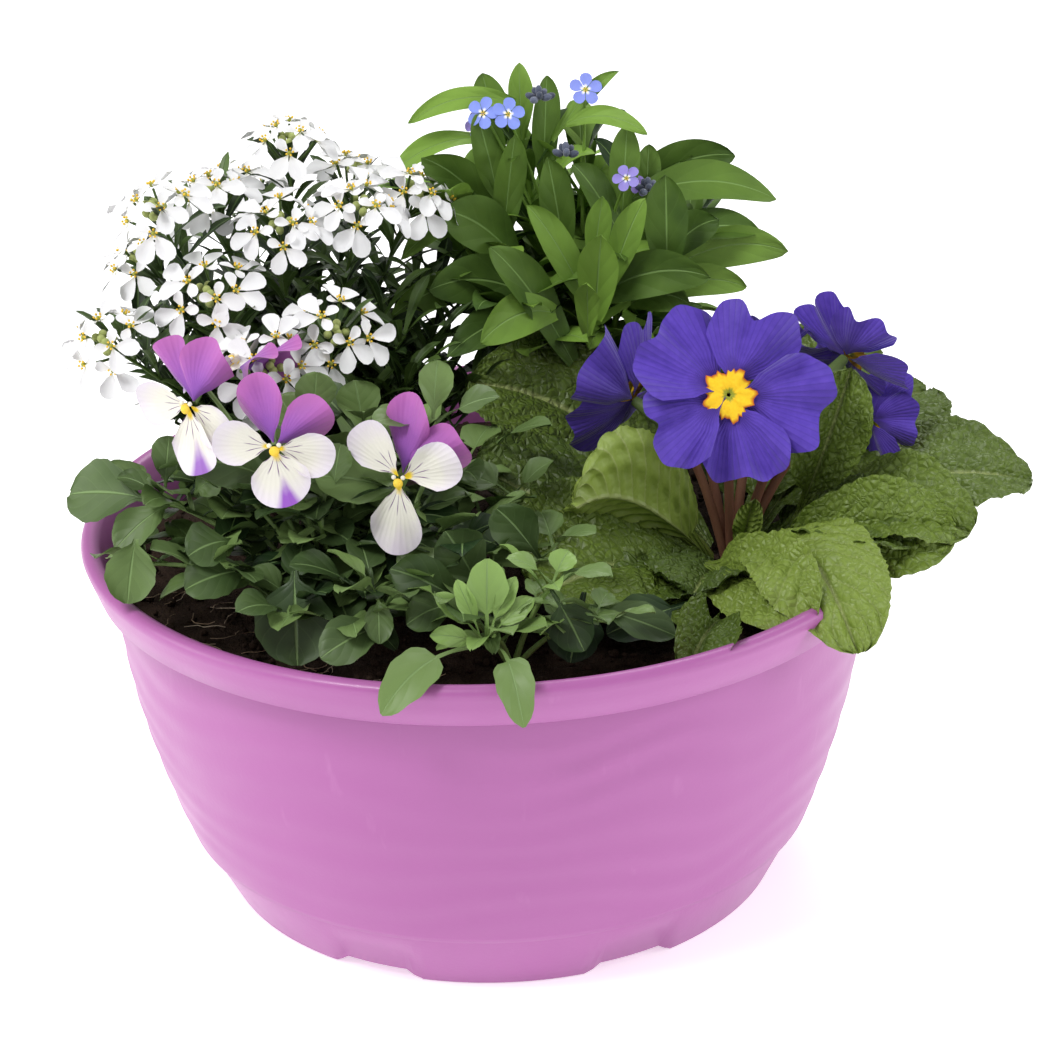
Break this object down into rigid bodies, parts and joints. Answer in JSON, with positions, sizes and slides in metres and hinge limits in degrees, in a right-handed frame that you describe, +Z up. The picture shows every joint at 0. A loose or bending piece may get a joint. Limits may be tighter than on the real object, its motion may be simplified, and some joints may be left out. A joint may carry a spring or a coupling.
{
  "type": "mixed flower planter",
  "caption": "Round plastic bowl filled with potting soil and planted with candytuft, forget-me-not, primrose and horned violet, to stand on a patio or table.",
  "frame": {"origin": "centre of the bowl's base, on the surface it stands on", "axes": "+X to the right seen from the front, +Y to the back, +Z up"},
  "size_m": [0.3004, 0.269, 0.2496],
  "materials": {
    "pink_plastic": "satin moulded plastic",
    "potting_soil": "crumbly dark potting soil",
    "leaf_green": "matt living leaf",
    "lilac_petal": "matt petal",
    "white_petal": "matt petal",
    "violet_petal": "matt petal",
    "yellow_eye": "matt flower centre",
    "red_stalk": "matt stalk",
    "blue_petal": "matt petal",
    "dark_bud": "dull bud"
  },
  "bodies": {
    "root": {"bowl": "pink_plastic", "soil": "potting_soil", "primrose_bloom_1": "violet_petal", "primrose_eye_1": "yellow_eye", "primrose_bloom_2": "violet_petal", "primrose_eye_2": "yellow_eye", "primrose_bloom_3": "violet_petal", "primrose_eye_3": "yellow_eye", "primrose_bloom_4": "violet_petal", "primrose_eye_4": "yellow_eye", "primrose_bloom_5": "violet_petal", "primrose_eye_5": "yellow_eye", "primrose_bloom_6": "violet_petal", "primrose_eye_6": "yellow_eye", "primrose_stalks": "red_stalk", "primrose_leaves": "leaf_green", "violet_bloom_1_white": "white_petal", "violet_bloom_1_lilac": "lilac_petal", "violet_eye_1": "yellow_eye", "violet_bloom_2_white": "white_petal", "violet_bloom_2_lilac": "lilac_petal", "violet_eye_2": "yellow_eye", "violet_bloom_3_white": "white_petal", "violet_bloom_3_lilac": "lilac_petal", "violet_eye_3": "yellow_eye", "violet_bloom_4_white": "white_petal", "violet_bloom_4_lilac": "lilac_petal", "violet_eye_4": "yellow_eye", "violet_leaves": "leaf_green", "violet_front_shoot": "leaf_green", "candytuft_head_1": "white_petal", "candytuft_head_2": "white_petal", "candytuft_head_3": "white_petal", "candytuft_head_4": "white_petal", "candytuft_head_5": "white_petal", "candytuft_head_6": "white_petal", "candytuft_head_7": "white_petal", "candytuft_head_8": "white_petal", "candytuft_head_9": "white_petal", "candytuft_head_10": "white_petal", "candytuft_head_11": "white_petal", "candytuft_head_12": "white_petal", "candytuft_head_13": "white_petal", "candytuft_leaves": "leaf_green", "forget_cluster_1": "blue_petal", "forget_cluster_2": "blue_petal", "forget_cluster_3": "blue_petal", "forget_buds_1": "dark_bud", "forget_buds_2": "dark_bud", "forget_leaves": "leaf_green"}
  },
  "joints": []
}
